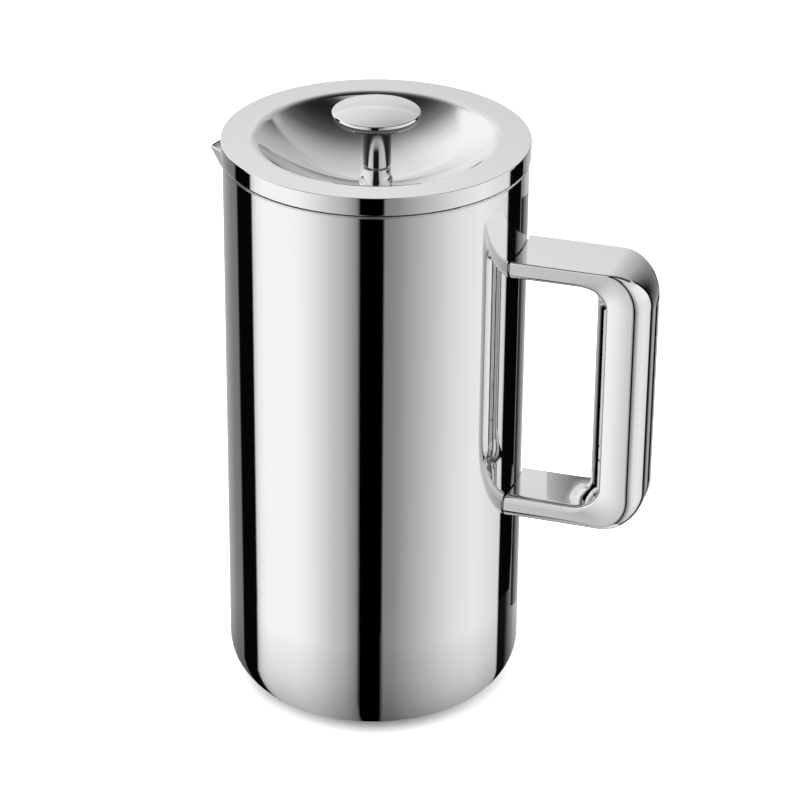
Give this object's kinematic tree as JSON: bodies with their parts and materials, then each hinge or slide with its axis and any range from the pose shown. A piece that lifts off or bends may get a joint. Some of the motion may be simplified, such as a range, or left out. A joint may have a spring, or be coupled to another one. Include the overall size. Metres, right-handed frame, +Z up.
{
  "type": "french press",
  "caption": "Double-walled cylindrical steel coffee press with a V spout, a D-shaped loop handle, a dished lid and a rod plunger with a mesh filter.",
  "frame": {"origin": "centre of the flat face that the press stands on", "axes": "+Z up along the vessel's axis, +X towards the handle, spout towards -X"},
  "size_m": [0.1557, 0.103, 0.2146],
  "materials": {
    "polished_steel": "mirror polished stainless steel",
    "satin_steel": "brushed",
    "mesh_steel": "fine woven wire",
    "spring_steel": "bright drawn wire",
    "silicone": "matt",
    "nylon": "matt"
  },
  "bodies": {
    "vessel": {"outer_shell": "polished_steel", "inner_liner": "satin_steel", "spout": "polished_steel", "base_plate": "satin_steel", "vacuum_plug": "satin_steel", "base_pad": "silicone", "handle": "polished_steel", "upper_handle_spigot": "satin_steel", "lower_handle_spigot": "satin_steel", "handle_set_screws": "satin_steel"},
    "seal": {"lid_seal": "silicone"},
    "lid": {"lid_cover": "polished_steel", "lid_skirt": "satin_steel", "lid_underplate": "satin_steel", "lid_collar": "polished_steel", "lid_washer": "satin_steel", "lid_nut": "satin_steel"},
    "bush": {"rod_bush": "nylon"},
    "plunger": {"knob_cap": "polished_steel", "knob_stem": "polished_steel", "plunger_rod": "polished_steel", "rod_ferrule": "satin_steel", "cross_plate": "satin_steel", "mesh_screen": "mesh_steel", "spring_plate": "satin_steel", "edge_spring": "spring_steel", "hub_nut": "satin_steel"}
  },
  "joints": [
    {"name": "lid_lift", "type": "slide", "parent": "vessel", "child": "seal", "axis": [0, 0, 1], "range_m": [0, 0.2]},
    {"name": "lid_turn", "type": "hinge", "parent": "seal", "child": "lid", "pos_m": [0, 0, 0.19], "axis": [0, 0, 1], "continuous": true},
    {"name": "rod_turn", "type": "hinge", "parent": "lid", "child": "bush", "pos_m": [0, 0, 0.19], "axis": [0, 0, 1], "continuous": true},
    {"name": "plunger_slide", "type": "slide", "parent": "bush", "child": "plunger", "axis": [0, 0, 1], "range_m": [0, 0.135]}
  ]
}
